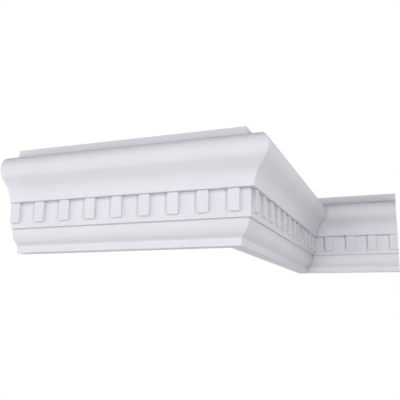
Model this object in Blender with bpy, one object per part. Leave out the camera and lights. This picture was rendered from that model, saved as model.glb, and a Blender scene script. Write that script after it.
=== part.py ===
"""Dentil cornice that turns an outer and an inner wall corner, in three mitred lengths.

X runs along the front wall, +Y goes into it and +Z is up. The origin is the middle of the front
length's wall face. The front length hangs on the front wall, the return length on the wall that
goes back from its outer corner, and the rear length on the wall beyond the inner corner. Each
length is one casting: its profile is drawn from the wall outwards and from the bottom up, and its
dentils are raised on the flat band. All sizes are in metres.
"""
import math

import bmesh
import bpy
from mathutils import Matrix, Vector

# Whole cornice
HEIGHT = 0.180
PROJECTION = 0.0805

# Wall that each length covers, measured between corners and square ends
FRONT_WALL = 0.3805
RETURN_WALL = 0.5690
REAR_WALL = 0.2335

# Lower fillet, and the ovolo that starts a quirk outside it
FILLET_REACH = 0.0230
FILLET_HEIGHT = 0.0125
QUIRK = 0.0012
OVOLO_REACH = 0.0388
OVOLO_RADIUS = 0.0250
OVOLO_LIP = 0.0026

# Flat band behind the dentils, up to the lower edge of the cyma
BAND_REACH = 0.0427
BAND_BOTTOM = 0.0398
BAND_TOP = 0.0835

# Cyma reversa: a hollow, a short straight slope and the big roll
CYMA_LIP = 0.0507
CYMA_SLOPE_LENGTH = 0.0142
ROLL_RADIUS = 0.0225
ROLL_DROP = 0.0436
ROLL_BACK_ANGLE = 122.0

# Cove from the back of the roll up to the ceiling
TOP_REACH = 0.0350
COVE_RADIUS = 0.0344

# Dentils
DENTIL_WIDTH = 0.0180
DENTIL_PITCH = 0.0487
DENTIL_PROUD = 0.0042
DENTIL_RAISE = 0.0092

# Plain band between the corner and the first dentil of each length
FRONT_MARGIN = 0.0157
RETURN_MARGIN = 0.0157
REAR_MARGIN = 0.0276

# Joint between two lengths, and how far each tool runs past the solid that it works on
MITRE_GAP = 0.0003
OVERRUN = 0.0100
DENTIL_SEAT = 0.0050
WELD_DISTANCE = 0.000001

# Degrees that one facet of an arc turns through
ARC_STEP = 6.0

PAINT_COLOUR = (0.80, 0.79, 0.84, 1.0)
PAINT_ROUGHNESS = 0.55

WEST = Vector((-1.0, 0.0, 0.0))
EAST = Vector((1.0, 0.0, 0.0))
SOUTH = Vector((0.0, -1.0, 0.0))
NORTH = Vector((0.0, 1.0, 0.0))
UP = Vector((0.0, 0.0, 1.0))

OUTER_CORNER = Vector((FRONT_WALL / 2, 0.0, -HEIGHT / 2))
INNER_CORNER = OUTER_CORNER + NORTH * RETURN_WALL
LEFT_END = OUTER_CORNER + WEST * FRONT_WALL
RIGHT_END = INNER_CORNER + EAST * REAR_WALL


def clear_scene():
    """Remove what the scene holds, so that the model starts empty."""
    for old in list(bpy.data.objects):
        bpy.data.objects.remove(old, do_unlink=True)


def new_collection(name):
    """Return an empty collection in the scene."""
    collection = bpy.data.collections.new(name)
    bpy.context.scene.collection.children.link(collection)
    return collection


def paint(name):
    """Return the smooth white paint of one length."""
    material = bpy.data.materials.new(name)
    material.use_nodes = True
    shader = material.node_tree.nodes["Principled BSDF"]
    shader.inputs["Base Color"].default_value = PAINT_COLOUR
    shader.inputs["Roughness"].default_value = PAINT_ROUGHNESS
    shader.inputs["Metallic"].default_value = 0.0
    return material


def arc(centre, radius, start, end):
    """Return points on an arc from start to end, in degrees, with both ends."""
    steps = max(2, round(abs(end - start) / ARC_STEP))
    angles = [math.radians(start + (end - start) * i / steps) for i in range(steps + 1)]
    return [(centre[0] + radius * math.cos(a), centre[1] + radius * math.sin(a)) for a in angles]


def ovolo():
    """Return the quarter round under the band, from its quirk up to its straight lip."""
    centre = (OVOLO_REACH - OVOLO_RADIUS, BAND_BOTTOM - OVOLO_LIP)
    start = FILLET_REACH + QUIRK - centre[0]
    return arc(centre, OVOLO_RADIUS, -math.degrees(math.acos(start / OVOLO_RADIUS)), 0.0)


def cyma():
    """Return the hollow, the slope that touches both arcs, and the roll round to its back."""
    roll_centre = (PROJECTION - ROLL_RADIUS, HEIGHT - ROLL_DROP)
    run = roll_centre[0] - CYMA_LIP
    rise = roll_centre[1] - BAND_TOP
    square = run ** 2 + rise ** 2 - ROLL_RADIUS ** 2 - CYMA_SLOPE_LENGTH ** 2
    hollow_radius = square / (2 * (ROLL_RADIUS + run))
    hollow_centre = (CYMA_LIP + hollow_radius, BAND_TOP)
    across = roll_centre[0] - hollow_centre[0]
    turn = math.atan2(CYMA_SLOPE_LENGTH, hollow_radius + ROLL_RADIUS)
    touch = math.degrees(math.atan2(rise, across) + turn)
    hollow = arc(hollow_centre, hollow_radius, 180.0, touch)
    return hollow + arc(roll_centre, ROLL_RADIUS, touch - 180.0, ROLL_BACK_ANGLE)


def cove(foot):
    """Return the shallow cove from the roll's back, at foot, up to the ceiling."""
    top = (TOP_REACH, HEIGHT)
    half = math.dist(foot, top) / 2
    depth = math.sqrt(COVE_RADIUS ** 2 - half ** 2)
    away = ((top[1] - foot[1]) / (2 * half), (foot[0] - top[0]) / (2 * half))
    centre = ((foot[0] + top[0]) / 2 + away[0] * depth, (foot[1] + top[1]) / 2 + away[1] * depth)
    start = math.degrees(math.atan2(foot[1] - centre[1], foot[0] - centre[0])) % 360
    end = math.degrees(math.atan2(top[1] - centre[1], top[0] - centre[0])) % 360
    return arc(centre, COVE_RADIUS, start, end)


def profile():
    """Return the cross-section as (distance from the wall, height) points, from the bottom up."""
    points = [(0.0, 0.0), (FILLET_REACH, 0.0), (FILLET_REACH, FILLET_HEIGHT)]
    points += ovolo()
    points += [(OVOLO_REACH, BAND_BOTTOM), (BAND_REACH, BAND_BOTTOM), (BAND_REACH, BAND_TOP)]
    face = cyma()
    points += face
    points += cove(face[-1])[1:]
    points.append((0.0, HEIGHT))
    return points


def straight_blank(name, start, along, outward, length):
    """Return a straight stick of the profile that runs past both ends of its wall."""
    curve = bpy.data.curves.new(name, "CURVE")
    curve.dimensions = "2D"
    curve.fill_mode = "BOTH"
    reach = length / 2 + PROJECTION + OVERRUN
    curve.extrude = reach
    outline = profile()
    spline = curve.splines.new("POLY")
    spline.points.add(len(outline) - 1)
    for point, (distance, height) in zip(spline.points, outline):
        point.co = (distance, height, 0.0, 1.0)
    spline.use_cyclic_u = True
    drawn = bpy.data.objects.new(name + "_outline", curve)
    bpy.context.scene.collection.objects.link(drawn)
    middle = start + along * (length / 2)
    turned = Matrix((outward, UP, outward.cross(UP))).transposed()
    drawn.matrix_world = Matrix.Translation(middle) @ turned.to_4x4()
    bpy.context.view_layer.update()
    evaluated = drawn.evaluated_get(bpy.context.evaluated_depsgraph_get())
    mesh = bpy.data.meshes.new_from_object(evaluated)
    mesh.name = name
    weld = bmesh.new()
    weld.from_mesh(mesh)
    bmesh.ops.remove_doubles(weld, verts=weld.verts, dist=WELD_DISTANCE)
    bmesh.ops.recalc_face_normals(weld, faces=weld.faces)
    weld.to_mesh(mesh)
    weld.free()
    mesh.shade_smooth()
    mesh.set_sharp_from_angle(angle=math.radians(2 * ARC_STEP))
    blank = bpy.data.objects.new(name, mesh)
    blank.matrix_world = drawn.matrix_world.copy()
    bpy.data.objects.remove(drawn, do_unlink=True)
    return blank


def helper(name, collection, work):
    """Return a hidden wireframe object that holds the mesh made by work."""
    mesh = bpy.data.meshes.new(name)
    work.to_mesh(mesh)
    work.free()
    guide = bpy.data.objects.new(name, mesh)
    guide.display_type = "WIRE"
    guide.hide_render = True
    collection.objects.link(guide)
    return guide


def add_box(work, centre, along, outward, size):
    """Add a box to work, with its size given along the wall, away from the wall and upwards."""
    turned = Matrix((along, outward, UP)).transposed().to_4x4()
    scaled = Matrix.Diagonal((*size, 1.0))
    bmesh.ops.create_cube(work, size=1.0, matrix=Matrix.Translation(centre) @ turned @ scaled)
    bmesh.ops.recalc_face_normals(work, faces=work.faces)


def dentil_row(name, collection, start, along, outward, first, length):
    """Return the dentils of one length: first is where they begin, along the wall from start."""
    work = bmesh.new()
    bottom = BAND_BOTTOM + DENTIL_RAISE
    depth = DENTIL_SEAT + DENTIL_PROUD
    height = BAND_TOP + DENTIL_PROUD - bottom
    size = (DENTIL_WIDTH, depth, height)
    count = math.ceil((length - first) / DENTIL_PITCH)
    for i in range(count):
        centre = start + along * (first + DENTIL_WIDTH / 2 + i * DENTIL_PITCH)
        centre += outward * (BAND_REACH + DENTIL_PROUD - depth / 2)
        centre += UP * (bottom + height / 2)
        add_box(work, centre, along, outward, size)
    return helper(name, collection, work)


def saw_cut(name, collection, point, away):
    """Return a block whose face passes through point and that takes off all on the away side."""
    work = bmesh.new()
    reach = 2 * (PROJECTION + OVERRUN)
    side = away.cross(UP)
    size = (4 * reach, 4 * reach, 2 * HEIGHT)
    add_box(work, point + away * (size[0] / 2) + UP * (HEIGHT / 2), away, side, size)
    return helper(name, collection, work)


def add_boolean(target, operation, other):
    """Join other to target, or cut it from target."""
    modifier = target.modifiers.new(other.name, "BOOLEAN")
    modifier.operation = operation
    modifier.solver = "EXACT"
    modifier.object = other


def build_length(name, parts, tools, start, along, outward, length, first, cuts):
    """Make one length: the stick, its dentils, and the two saw cuts that end it."""
    stick = straight_blank(name, start, along, outward, length)
    parts.objects.link(stick)
    stick.data.materials.append(paint(name + "_paint"))
    row = dentil_row(name + "_dentils", tools, start, along, outward, first, length)
    add_boolean(stick, "UNION", row)
    for label, point, away in cuts:
        add_boolean(stick, "DIFFERENCE", saw_cut(name + "_" + label, tools, point, away))


def main():
    """Build the three lengths."""
    clear_scene()
    parts = new_collection("dentil_cornice")
    tools = new_collection("dentil_cornice_cutters")
    mitre = (EAST + NORTH).normalized()
    half_gap = mitre * (MITRE_GAP / 2)
    build_length(
        "front_length", parts, tools, OUTER_CORNER, WEST, SOUTH, FRONT_WALL,
        FRONT_MARGIN - BAND_REACH,
        [("outer_mitre", OUTER_CORNER - half_gap, mitre), ("left_end", LEFT_END, WEST)],
    )
    build_length(
        "return_length", parts, tools, OUTER_CORNER, NORTH, EAST, RETURN_WALL,
        RETURN_MARGIN - BAND_REACH,
        [("outer_mitre", OUTER_CORNER + half_gap, -mitre),
         ("inner_mitre", INNER_CORNER - half_gap, mitre)],
    )
    build_length(
        "rear_length", parts, tools, INNER_CORNER, EAST, SOUTH, REAR_WALL,
        REAR_MARGIN + BAND_REACH,
        [("inner_mitre", INNER_CORNER + half_gap, -mitre), ("right_end", RIGHT_END, EAST)],
    )


main()
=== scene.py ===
import math

import bmesh
import bpy
from mathutils import Matrix, Vector


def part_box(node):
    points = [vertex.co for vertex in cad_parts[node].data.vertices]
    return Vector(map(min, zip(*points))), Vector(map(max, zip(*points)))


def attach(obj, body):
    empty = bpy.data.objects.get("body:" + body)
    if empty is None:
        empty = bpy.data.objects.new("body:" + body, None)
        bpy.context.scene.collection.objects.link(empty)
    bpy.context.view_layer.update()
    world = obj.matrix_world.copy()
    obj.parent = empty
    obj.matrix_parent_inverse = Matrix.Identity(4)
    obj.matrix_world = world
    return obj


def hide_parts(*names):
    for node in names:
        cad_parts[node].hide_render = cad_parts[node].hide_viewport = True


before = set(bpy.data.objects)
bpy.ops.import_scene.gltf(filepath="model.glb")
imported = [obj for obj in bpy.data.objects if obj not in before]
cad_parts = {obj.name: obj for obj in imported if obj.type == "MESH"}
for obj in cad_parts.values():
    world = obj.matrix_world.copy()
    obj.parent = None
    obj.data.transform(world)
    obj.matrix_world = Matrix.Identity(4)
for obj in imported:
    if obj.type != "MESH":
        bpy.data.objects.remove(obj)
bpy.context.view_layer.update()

# Front length: the long run, a stick of dense white foam whose moulded skin is smooth and painted.
# It is glued back to the wall and up to the ceiling, cut square at its left end, and sawn to a
# mitre at the outer corner. All sizes are in metres, out from the wall and up from the bottom.
FILLET_REACH = 0.0230
FILLET_HEIGHT = 0.0125
QUIRK = 0.0012
OVOLO_REACH = 0.0388
OVOLO_RADIUS = 0.0250
OVOLO_LIP = 0.0026
BAND_REACH = 0.0427
BAND_BOTTOM = 0.0398
BAND_TOP = 0.0835
CYMA_LIP = 0.0507
CYMA_SLOPE_LENGTH = 0.0142
PROJECTION = 0.0805
ROLL_RADIUS = 0.0225
ROLL_DROP = 0.0436
ROLL_BACK_ANGLE = 122.0
TOP_REACH = 0.0350
COVE_RADIUS = 0.0344
DENTIL_WIDTH = 0.0180
DENTIL_PITCH = 0.0487
DENTIL_PROUD = 0.0042
DENTIL_RAISE = 0.0092
FRONT_MARGIN = 0.0157

# How the mould and the paint soften it: arrises, inner corners, and the lean of a dentil's sides
ARRIS = 0.00045
FILLET_ARRIS = 0.00060
INNER_CORNER_RADIUS = 0.00035
QUIRK_RADIUS = 0.00030
DENTIL_ARRIS = 0.00025
DENTIL_ROOT = 0.00020
DENTIL_LEAN = 0.00010

# How far painted shade spreads beside a crease, and how dark it is, from 0 to 1
PAINTED_SHADE_WIDTH = 0.0015
CREASE_SHADE = 1.0
QUIRK_SHADE = 0.5
JOINT_SHADE = 0.55

# How finely the rounds are drawn, in degrees, and how far past its ends a length is drawn and sawn
ARC_STEP = 2.5
SOFT_STEP = 15.0
SMOOTH_ANGLE = 32.0
OVERRUN = 0.0100
JOINT_HALF_GAP = 0.00003
SAW_TOLERANCE = 1e-7

# The two finishes of a length, and how many flat faces of its section are glued: ceiling and wall
PAINTED = 0
BARE = 1
GLUED_FACES = 2

WEST = Vector((-1.0, 0.0, 0.0))
EAST = Vector((1.0, 0.0, 0.0))
SOUTH = Vector((0.0, -1.0, 0.0))
NORTH = Vector((0.0, 1.0, 0.0))
UP = Vector((0.0, 0.0, 1.0))
MITRE = (EAST + NORTH).normalized()

front_low, front_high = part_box("front_length")
return_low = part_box("return_length")[0]
HEIGHT = front_high.z - front_low.z
OUTER_CORNER = Vector((return_low.x, front_high.y, front_low.z))
FRONT_WALL = OUTER_CORNER.x - front_low.x


def arc(centre, radius, start, end):
    """Fine points on an arc from start to end, in degrees, as (reach, height, no softening)."""
    steps = max(2, round(abs(end - start) / ARC_STEP))
    angles = [math.radians(start + (end - start) * i / steps) for i in range(steps + 1)]
    return [
        (centre[0] + radius * math.cos(a), centre[1] + radius * math.sin(a), 0.0) for a in angles
    ]


def softened(outline):
    """Round each corner of (reach, height, radius) points that has a radius."""
    points = []
    for i, (reach, height, radius) in enumerate(outline):
        corner = Vector((reach, height))
        if radius == 0.0:
            points.append(corner)
            continue
        back = (Vector(outline[i - 1][:2]) - corner).normalized()
        ahead = (Vector(outline[i + 1][:2]) - corner).normalized()
        turn = math.pi - back.angle(ahead)
        centre = corner + (back + ahead).normalized() * (radius / math.cos(turn / 2))
        swing = corner + back * (radius * math.tan(turn / 2)) - centre
        way = -math.copysign(turn, back.cross(ahead))
        steps = max(2, round(math.degrees(turn) / SOFT_STEP))
        for k in range(steps + 1):
            points.append(centre + Matrix.Rotation(way * k / steps, 2) @ swing)
    return points


def ovolo():
    """The quarter round under the band, from its quirk up to its straight lip."""
    centre = (OVOLO_REACH - OVOLO_RADIUS, BAND_BOTTOM - OVOLO_LIP)
    start = FILLET_REACH + QUIRK - centre[0]
    return arc(centre, OVOLO_RADIUS, -math.degrees(math.acos(start / OVOLO_RADIUS)), 0.0)


def cyma():
    """The hollow, the slope that touches both arcs, and the big roll round to its back."""
    roll_centre = (PROJECTION - ROLL_RADIUS, HEIGHT - ROLL_DROP)
    run = roll_centre[0] - CYMA_LIP
    rise = roll_centre[1] - BAND_TOP
    square = run ** 2 + rise ** 2 - ROLL_RADIUS ** 2 - CYMA_SLOPE_LENGTH ** 2
    hollow_radius = square / (2 * (ROLL_RADIUS + run))
    hollow_centre = (CYMA_LIP + hollow_radius, BAND_TOP)
    across = roll_centre[0] - hollow_centre[0]
    turn = math.atan2(CYMA_SLOPE_LENGTH, hollow_radius + ROLL_RADIUS)
    touch = math.degrees(math.atan2(rise, across) + turn)
    hollow = arc(hollow_centre, hollow_radius, 180.0, touch)
    return hollow[1:] + arc(roll_centre, ROLL_RADIUS, touch - 180.0, ROLL_BACK_ANGLE)


def cove(foot):
    """The shallow cove from the roll's back, at foot, up to the ceiling."""
    top = (TOP_REACH, HEIGHT)
    half = math.dist(foot, top) / 2
    depth = math.sqrt(COVE_RADIUS ** 2 - half ** 2)
    away = ((top[1] - foot[1]) / (2 * half), (foot[0] - top[0]) / (2 * half))
    centre = ((foot[0] + top[0]) / 2 + away[0] * depth, (foot[1] + top[1]) / 2 + away[1] * depth)
    start = math.degrees(math.atan2(foot[1] - centre[1], foot[0] - centre[0])) % 360
    end = math.degrees(math.atan2(top[1] - centre[1], top[0] - centre[0])) % 360
    return arc(centre, COVE_RADIUS, start, end)


def dentil_side():
    """A dentil's side as (distance, share of its height) points, from the band up to its face."""
    far = DENTIL_WIDTH / 2
    line = softened([
        (-far, 0.0, 0.0), (-DENTIL_LEAN / 2, 0.0, DENTIL_ROOT),
        (DENTIL_LEAN / 2, DENTIL_PROUD, DENTIL_ARRIS), (far, DENTIL_PROUD, 0.0),
    ])
    return [(point.x, point.y / DENTIL_PROUD) for point in line[1:-1]]


def cross_section():
    """The section as (reach, height, share of a dentil's lift, painted shade) points, from the wall
    round.
    """
    lower = softened([
        (0.0, 0.0, 0.0), (FILLET_REACH, 0.0, FILLET_ARRIS),
        (FILLET_REACH, FILLET_HEIGHT - PAINTED_SHADE_WIDTH, 0.0),
        (FILLET_REACH, FILLET_HEIGHT, QUIRK_RADIUS), *ovolo(),
        (OVOLO_REACH, BAND_BOTTOM - PAINTED_SHADE_WIDTH, 0.0),
        (OVOLO_REACH, BAND_BOTTOM, INNER_CORNER_RADIUS),
        (OVOLO_REACH + PAINTED_SHADE_WIDTH, BAND_BOTTOM, 0.0), (BAND_REACH, BAND_BOTTOM, ARRIS),
        (BAND_REACH, BAND_TOP, 0.0),
    ])[:-1]
    swell = cyma()
    roll_back = swell[-1][:2]
    upper = softened([
        (BAND_REACH, BAND_BOTTOM, 0.0), (BAND_REACH, BAND_TOP - PAINTED_SHADE_WIDTH, 0.0),
        (BAND_REACH, BAND_TOP, INNER_CORNER_RADIUS),
        (BAND_REACH + DENTIL_PROUD + PAINTED_SHADE_WIDTH, BAND_TOP, 0.0),
        (CYMA_LIP, BAND_TOP, ARRIS), *swell[:-1], (*roll_back, INNER_CORNER_RADIUS),
        *cove(roll_back)[1:-1], (TOP_REACH, HEIGHT, ARRIS), (0.0, HEIGHT, 0.0),
    ])[1:]
    foot = BAND_BOTTOM + DENTIL_RAISE
    section = [(point.x, point.y, 0.0) for point in lower]
    section += [(BAND_REACH, foot + rise, share) for rise, share in dentil_side()]
    root_end = BAND_REACH + 2 * INNER_CORNER_RADIUS
    for point in upper:
        on_root = point.x < root_end and point.y < BAND_TOP + INNER_CORNER_RADIUS
        section.append((point.x, point.y, 1.0 if on_root else 0.0))
    # Creases where the paint is darkened as painted shade, with how dark it is at the crease itself
    creases = [
        (FILLET_REACH, FILLET_HEIGHT, QUIRK_SHADE), (OVOLO_REACH, BAND_BOTTOM, CREASE_SHADE),
        (BAND_REACH, BAND_TOP, CREASE_SHADE), (*roll_back, CREASE_SHADE),
    ]
    marked = []
    for reach, height, share in section:
        painted_shade = [
            most * (1.0 - math.dist((reach, height), (x, y)) / PAINTED_SHADE_WIDTH)
            for x, y, most in creases
        ]
        marked.append((reach, height, share, max(0.0, *painted_shade)))
    return marked


def stations(first, length):
    """Places along the wall, as (distance, share of a dentil's height), past both ends."""
    reach = PROJECTION + OVERRUN
    side = dentil_side()
    marks = [(-reach, 0.0)]
    for i in range(math.ceil((length - first) / DENTIL_PITCH)):
        near = first + i * DENTIL_PITCH
        marks += [(near + d, share) for d, share in side]
        marks += [(near + DENTIL_WIDTH - d, share) for d, share in reversed(side)]
    return marks + [(length + reach, 0.0)]


def split(work, point, away, drop):
    """Cut all faces along a plane, drop the away side if asked, and return what lies on the cut."""
    everything = work.verts[:] + work.edges[:] + work.faces[:]
    return bmesh.ops.bisect_plane(
        work, geom=everything, dist=SAW_TOLERANCE, plane_co=point, plane_no=away, clear_outer=drop,
    )["geom_cut"]


def saw(work, point, away, shade_width):
    """Cut off the away side, close the cut with bare foam, and mark how far painted shade lies
    beside it.
    """
    if shade_width > 0.0:
        split(work, point - away * shade_width, away, False)
    cut = split(work, point, away, True)
    rim = [item for item in cut if isinstance(item, bmesh.types.BMEdge)]
    bmesh.ops.edgeloop_fill(work, edges=rim, mat_nr=BARE)
    if shade_width > 0.0:
        # The rim of a glued cut gets the painted shade of the joint
        painted_shade = work.verts.layers.float["crease"]
        for edge in rim:
            for point_on_rim in edge.verts:
                point_on_rim[painted_shade] = max(point_on_rim[painted_shade], JOINT_SHADE)


def moulded_length(name, start, along, outward, length, first, cuts, skin, core):
    """Draw one length: the section swept along the wall, dentils raised on it, both ends sawn."""
    section = cross_section()
    work = bmesh.new()
    painted_shade = work.verts.layers.float.new("crease")
    rows = []
    for distance, lift in stations(first, length):
        base = start + along * distance
        row = []
        for reach, height, share, shade_amount in section:
            out = outward * (reach + DENTIL_PROUD * lift * share)
            point = work.verts.new(base + out + UP * height)
            # Each point keeps how much painted shade darkens its paint
            point[painted_shade] = shade_amount
            row.append(point)
        rows.append(row)
    count = len(section)
    for row, following in zip(rows, rows[1:]):
        for j in range(count):
            k = (j + 1) % count
            face = work.faces.new((row[j], row[k], following[k], following[j]))
            face.material_index = BARE if j >= count - GLUED_FACES else PAINTED
    for point, away, shade_width in cuts:
        saw(work, point, away, shade_width)
    bmesh.ops.recalc_face_normals(work, faces=work.faces)
    mesh = bpy.data.meshes.new(name)
    work.to_mesh(mesh)
    work.free()
    mesh.materials.append(skin)
    mesh.materials.append(core)
    mesh.shade_smooth()
    mesh.set_sharp_from_angle(angle=math.radians(SMOOTH_ANGLE))
    piece = bpy.data.objects.new(name, mesh)
    bpy.context.scene.collection.objects.link(piece)
    weighted = piece.modifiers.new("weighted_normals", "WEIGHTED_NORMAL")
    weighted.keep_sharp = True
    return piece


# The paint: its tones, how large its clouds and its fine grain are, and how deep its relief is
PAINT_DEEP = (0.660, 0.650, 0.697, 1.0)
PAINT_PALE = (0.690, 0.680, 0.728, 1.0)
# The next tone is painted shade: the grey the paint is darkened to in creases and joints
PAINT_SHADE = (0.400, 0.390, 0.425, 1.0)
PAINT_CLOUDS = 11.0
SHEEN_GRAIN = 140.0
ORANGE_PEEL = 650.0
LINES_ALONG = 2.0
LINES_ACROSS = 800.0
SKIN_RELIEF = 0.00002
SKIN_BUMP = 0.5
SKIN_IOR = 1.45
SKIN_SPECULAR = 0.25
SMOOTHEST = 0.70
ROUGHEST = 0.84
# How strongly the painted crease shade shows, from the sheen grain's low to high values
SHADE_FAINTEST = 0.45
SHADE_DEEPEST = 0.95
ALONG_X = (LINES_ALONG, LINES_ACROSS, LINES_ACROSS)
ALONG_Y = (LINES_ACROSS, LINES_ALONG, LINES_ACROSS)

# The bare foam: its tones, its clouds, and its cells
FOAM_DEEP = (0.80, 0.785, 0.765, 1.0)
FOAM_PALE = (0.88, 0.865, 0.845, 1.0)
FOAM_CLOUDS = 60.0
FOAM_CELLS = 900.0
CELL_DEPTH = 0.00012
CELL_BUMP = 0.6
FOAM_ROUGHNESS = 0.85

# Where the clouds of both turn from the deep tone to the pale one
CLOUD_DEEP_AT = 0.30
CLOUD_PALE_AT = 0.70


def add_node(tree, kind, **values):
    """Add a shader node and set its named inputs."""
    node = tree.nodes.new(kind)
    for key, value in values.items():
        node.inputs[key.replace("_", " ")].default_value = value
    return node


def clouded(tree, place, scale, detail, deep, pale):
    """Faint clouds between two tones, fixed to the piece."""
    clouds = add_node(tree, "ShaderNodeTexNoise", Scale=scale, Detail=detail, Roughness=0.6)
    tint = tree.nodes.new("ShaderNodeValToRGB")
    tint.color_ramp.elements[0].position = CLOUD_DEEP_AT
    tint.color_ramp.elements[0].color = deep
    tint.color_ramp.elements[1].position = CLOUD_PALE_AT
    tint.color_ramp.elements[1].color = pale
    tree.links.new(place.outputs["Object"], clouds.inputs["Vector"])
    tree.links.new(clouds.outputs["Fac"], tint.inputs["Fac"])
    return tint


def painted_skin(name, streak_scale):
    """Sprayed matt white paint: faint clouds, orange peel, mould lines, and painted shade in the
    creases.
    """
    material = bpy.data.materials.new(name)
    material.use_nodes = True
    tree = material.node_tree
    shader = tree.nodes["Principled BSDF"]
    place = tree.nodes.new("ShaderNodeTexCoord")
    tint = clouded(tree, place, PAINT_CLOUDS, 4.0, PAINT_DEEP, PAINT_PALE)
    # The crease layer mixes the paint toward a grey tone: painted shade in the creases, broken up by
    # the sheen grain
    creases = tree.nodes.new("ShaderNodeAttribute")
    creases.attribute_name = "crease"
    shade_strength = add_node(tree, "ShaderNodeMapRange", To_Min=SHADE_FAINTEST, To_Max=SHADE_DEEPEST)
    painted_shade = tree.nodes.new("ShaderNodeMath")
    painted_shade.operation = "MULTIPLY"
    shade_mix = add_node(tree, "ShaderNodeMixRGB", Color2=PAINT_SHADE)
    sheen = add_node(tree, "ShaderNodeTexNoise", Scale=SHEEN_GRAIN, Detail=3.0, Roughness=0.5)
    gloss = add_node(tree, "ShaderNodeMapRange", To_Min=SMOOTHEST, To_Max=ROUGHEST)
    peel = add_node(tree, "ShaderNodeTexNoise", Scale=ORANGE_PEEL, Detail=2.0, Roughness=0.5)
    stretch = add_node(tree, "ShaderNodeMapping", Scale=streak_scale)
    streaks = add_node(tree, "ShaderNodeTexNoise", Scale=1.0, Detail=3.0, Roughness=0.6)
    skin_bump = add_node(tree, "ShaderNodeBump", Strength=SKIN_BUMP, Distance=SKIN_RELIEF)
    line_bump = add_node(tree, "ShaderNodeBump", Strength=SKIN_BUMP, Distance=SKIN_RELIEF)
    link = tree.links.new
    for texture in (sheen, peel, stretch):
        link(place.outputs["Object"], texture.inputs["Vector"])
    link(stretch.outputs["Vector"], streaks.inputs["Vector"])
    link(sheen.outputs["Fac"], shade_strength.inputs["Value"])
    link(creases.outputs["Fac"], painted_shade.inputs[0])
    link(shade_strength.outputs["Result"], painted_shade.inputs[1])
    link(painted_shade.outputs["Value"], shade_mix.inputs["Fac"])
    link(tint.outputs["Color"], shade_mix.inputs["Color1"])
    link(shade_mix.outputs["Color"], shader.inputs["Base Color"])
    link(sheen.outputs["Fac"], gloss.inputs["Value"])
    link(gloss.outputs["Result"], shader.inputs["Roughness"])
    link(streaks.outputs["Fac"], line_bump.inputs["Height"])
    link(peel.outputs["Fac"], skin_bump.inputs["Height"])
    link(line_bump.outputs["Normal"], skin_bump.inputs["Normal"])
    link(skin_bump.outputs["Normal"], shader.inputs["Normal"])
    shader.inputs["Metallic"].default_value = 0.0
    shader.inputs["IOR"].default_value = SKIN_IOR
    shader.inputs["Specular IOR Level"].default_value = SKIN_SPECULAR
    return material


def sawn_foam(name):
    """Bare foam on the sawn ends and on the faces that are glued: fine cells, faintly cream."""
    material = bpy.data.materials.new(name)
    material.use_nodes = True
    tree = material.node_tree
    shader = tree.nodes["Principled BSDF"]
    place = tree.nodes.new("ShaderNodeTexCoord")
    tint = clouded(tree, place, FOAM_CLOUDS, 5.0, FOAM_DEEP, FOAM_PALE)
    cells = add_node(tree, "ShaderNodeTexVoronoi", Scale=FOAM_CELLS)
    bump = add_node(tree, "ShaderNodeBump", Strength=CELL_BUMP, Distance=CELL_DEPTH)
    link = tree.links.new
    link(place.outputs["Object"], cells.inputs["Vector"])
    link(tint.outputs["Color"], shader.inputs["Base Color"])
    link(cells.outputs["Distance"], bump.inputs["Height"])
    link(bump.outputs["Normal"], shader.inputs["Normal"])
    shader.inputs["Roughness"].default_value = FOAM_ROUGHNESS
    shader.inputs["Metallic"].default_value = 0.0
    return material


foam = sawn_foam("sawn_foam")
front_piece = moulded_length(
    "front_cornice", OUTER_CORNER, WEST, SOUTH, FRONT_WALL, FRONT_MARGIN - BAND_REACH,
    [(OUTER_CORNER - MITRE * JOINT_HALF_GAP, MITRE, 0.0),
     (OUTER_CORNER + WEST * FRONT_WALL, WEST, 0.0)],
    painted_skin("front_paint", ALONG_X), foam,
)
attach(front_piece, "root")
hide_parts("front_length")

# Return length: the run that goes back from the outer corner, of the same foam and paint. Both of
# its ends are sawn to a mitre and glued, the inner one through its last dentil. Painted shade
# darkens the paint beside the inner corner's joint.
RETURN_MARGIN = 0.0157
# How far the painted shade reaches from the inner corner's joint
JOINT_SHADE_WIDTH = 0.0060

rear_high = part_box("rear_length")[1]
INNER_CORNER = Vector((return_low.x, rear_high.y, return_low.z))
RETURN_WALL = INNER_CORNER.y - OUTER_CORNER.y

return_piece = moulded_length(
    "return_cornice", OUTER_CORNER, NORTH, EAST, RETURN_WALL, RETURN_MARGIN - BAND_REACH,
    [(OUTER_CORNER + MITRE * JOINT_HALF_GAP, -MITRE, 0.0),
     (INNER_CORNER - MITRE * JOINT_HALF_GAP, MITRE, JOINT_SHADE_WIDTH)],
    painted_skin("return_paint", ALONG_Y), foam,
)
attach(return_piece, "root")
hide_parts("return_length")

# Rear length: the run beyond the inner corner, sawn to a mitre there and cut square at its right
# end, through its last dentil. It is the same foam and paint, glued to the rear wall.
REAR_MARGIN = 0.0276
REAR_WALL = rear_high.x - INNER_CORNER.x

rear_piece = moulded_length(
    "rear_cornice", INNER_CORNER, EAST, SOUTH, REAR_WALL, REAR_MARGIN + BAND_REACH,
    [(INNER_CORNER + MITRE * JOINT_HALF_GAP, -MITRE, JOINT_SHADE_WIDTH),
     (INNER_CORNER + EAST * REAR_WALL, EAST, 0.0)],
    painted_skin("rear_paint", ALONG_X), foam,
)
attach(rear_piece, "root")
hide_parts("rear_length")

# Studio floor: a wide round pale sheet, as far below the cornice as a room's floor is below its
# ceiling. It is seen only by the camera and throws no light or reflection back on the cornice.
ROOM_HEIGHT = 2.50
FLOOR_RADIUS = 12.0
FLOOR_SIDES = 96
FLOOR_COLOUR = (0.86, 0.86, 0.87, 1.0)
FLOOR_ROUGHNESS = 0.9

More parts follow.
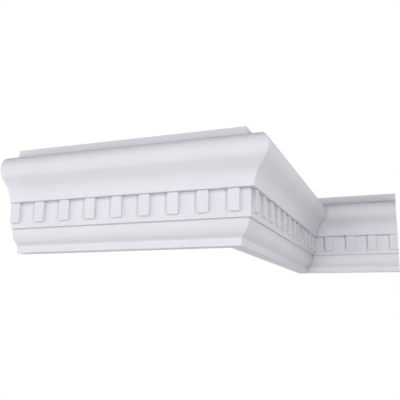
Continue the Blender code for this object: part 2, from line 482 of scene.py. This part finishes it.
bpy.ops.mesh.primitive_circle_add(
    vertices=FLOOR_SIDES, radius=FLOOR_RADIUS, fill_type="NGON",
    location=(OUTER_CORNER.x, OUTER_CORNER.y, front_high.z - ROOM_HEIGHT),
)
floor = bpy.context.object
floor.name = "studio_floor"
floor_paint = bpy.data.materials.new("floor_paint")
floor_paint.use_nodes = True
floor_shader = floor_paint.node_tree.nodes["Principled BSDF"]
floor_shader.inputs["Base Color"].default_value = FLOOR_COLOUR
floor_shader.inputs["Roughness"].default_value = FLOOR_ROUGHNESS
floor.data.materials.append(floor_paint)
floor.visible_diffuse = False
floor.visible_glossy = False

# Studio light: a tall narrow box to the right throws the crisp shadows beside the dentils, and wide
# boxes fill from the left, from behind on the right and from below. The floor has a box of its own
# just above it, and the backdrop is white. Distances are in metres and powers in watts.
AIM = (OUTER_CORNER + INNER_CORNER) / 2 + UP * (HEIGHT / 2)
BOX_DISTANCE = 3.0
UNDER_BOX_DISTANCE = 1.8
FLOOR_BOX_HEIGHT = 1.20
FLOOR_POWER = 1500.0
SURROUND_FILL = 0.02
WHITE = (1.0, 1.0, 1.0, 1.0)


def soft_box(name, azimuth, elevation, distance, width, height, power):
    """Hang a soft box where azimuth 0 is in front of the cornice and 90 is to its right."""
    turn = math.radians(azimuth)
    lift = math.radians(elevation)
    away = Vector((
        math.sin(turn) * math.cos(lift), -math.cos(turn) * math.cos(lift), math.sin(lift),
    ))
    glow = bpy.data.lights.new(name, "AREA")
    glow.shape = "RECTANGLE"
    glow.size = width
    glow.size_y = height
    glow.energy = power
    box = bpy.data.objects.new(name, glow)
    box.location = AIM + away * distance
    box.rotation_euler = away.to_track_quat("Z", "Y").to_euler()
    box.visible_camera = False
    bpy.context.scene.collection.objects.link(box)


soft_box("strip_box", 50.0, 0.0, BOX_DISTANCE, 0.30, 3.4, 46.0)
soft_box("left_box", -40.0, 5.0, BOX_DISTANCE, 3.4, 3.4, 62.5)
soft_box("front_box", 8.0, 25.0, BOX_DISTANCE, 1.2, 1.2, 19.8)
soft_box("back_box", 135.0, 5.0, BOX_DISTANCE, 3.4, 3.4, 26.7)
soft_box("far_back_box", 160.0, 5.0, BOX_DISTANCE, 3.4, 3.4, 80.0)
soft_box("low_left_box", -80.0, -32.0, BOX_DISTANCE, 2.4, 1.6, 35.3)
soft_box("low_front_box", -20.0, -45.0, BOX_DISTANCE, 2.0, 2.0, 11.5)
soft_box("low_right_box", 40.0, -32.0, BOX_DISTANCE, 1.6, 1.6, 11.4)
soft_box("low_back_box", 170.0, -50.0, BOX_DISTANCE, 2.0, 2.0, 15.8)
soft_box("under_box", 0.0, -88.0, UNDER_BOX_DISTANCE, 3.0, 3.0, 10.7)

floor_glow = bpy.data.lights.new("floor_box", "AREA")
floor_glow.size = 2 * FLOOR_RADIUS
floor_glow.energy = FLOOR_POWER
floor_box = bpy.data.objects.new("floor_box", floor_glow)
floor_box.location = floor.location + UP * FLOOR_BOX_HEIGHT
floor_box.visible_camera = False
bpy.context.scene.collection.objects.link(floor_box)

world = bpy.data.worlds.new("studio")
world.use_nodes = True
surround = world.node_tree.nodes["Background"]
surround.inputs["Color"].default_value = WHITE
surround.inputs["Strength"].default_value = SURROUND_FILL
backdrop = add_node(world.node_tree, "ShaderNodeBackground", Color=WHITE, Strength=1.0)
ray = world.node_tree.nodes.new("ShaderNodeLightPath")
seen = world.node_tree.nodes.new("ShaderNodeMixShader")
join = world.node_tree.links.new
join(ray.outputs["Is Camera Ray"], seen.inputs["Fac"])
join(surround.outputs["Background"], seen.inputs[1])
join(backdrop.outputs["Background"], seen.inputs[2])
join(seen.outputs["Shader"], world.node_tree.nodes["World Output"].inputs["Surface"])
bpy.context.scene.world = world
bpy.context.scene.view_settings.view_transform = "Standard"

# Camera: a normal lens under the cornice and to the right of its outer corner, looking up at it.
# Its place, in metres, and its angles, in degrees, follow from the straight edges of the three runs.
CAMERA_PLACE = Vector((0.44209, -0.81069, -0.18888))
CAMERA_YAW = math.radians(20.5477)
CAMERA_PITCH = math.radians(11.535)
CAMERA_ROLL = math.radians(0.6038)
CAMERA_LENS = 50.0
CAMERA_SENSOR = 36.0

forward = Vector((
    -math.sin(CAMERA_YAW) * math.cos(CAMERA_PITCH),
    math.cos(CAMERA_YAW) * math.cos(CAMERA_PITCH),
    math.sin(CAMERA_PITCH),
))
level = Vector((math.cos(CAMERA_YAW), math.sin(CAMERA_YAW), 0.0))
upright = level.cross(forward)
right = level * math.cos(CAMERA_ROLL) + upright * math.sin(CAMERA_ROLL)
top = upright * math.cos(CAMERA_ROLL) - level * math.sin(CAMERA_ROLL)
lens = bpy.data.cameras.new("camera")
lens.lens = CAMERA_LENS
lens.sensor_width = CAMERA_SENSOR
camera = bpy.data.objects.new("camera", lens)
turned = Matrix((right, top, -forward)).transposed().to_4x4()
camera.matrix_world = Matrix.Translation(CAMERA_PLACE) @ turned
bpy.context.scene.collection.objects.link(camera)
bpy.context.scene.camera = camera
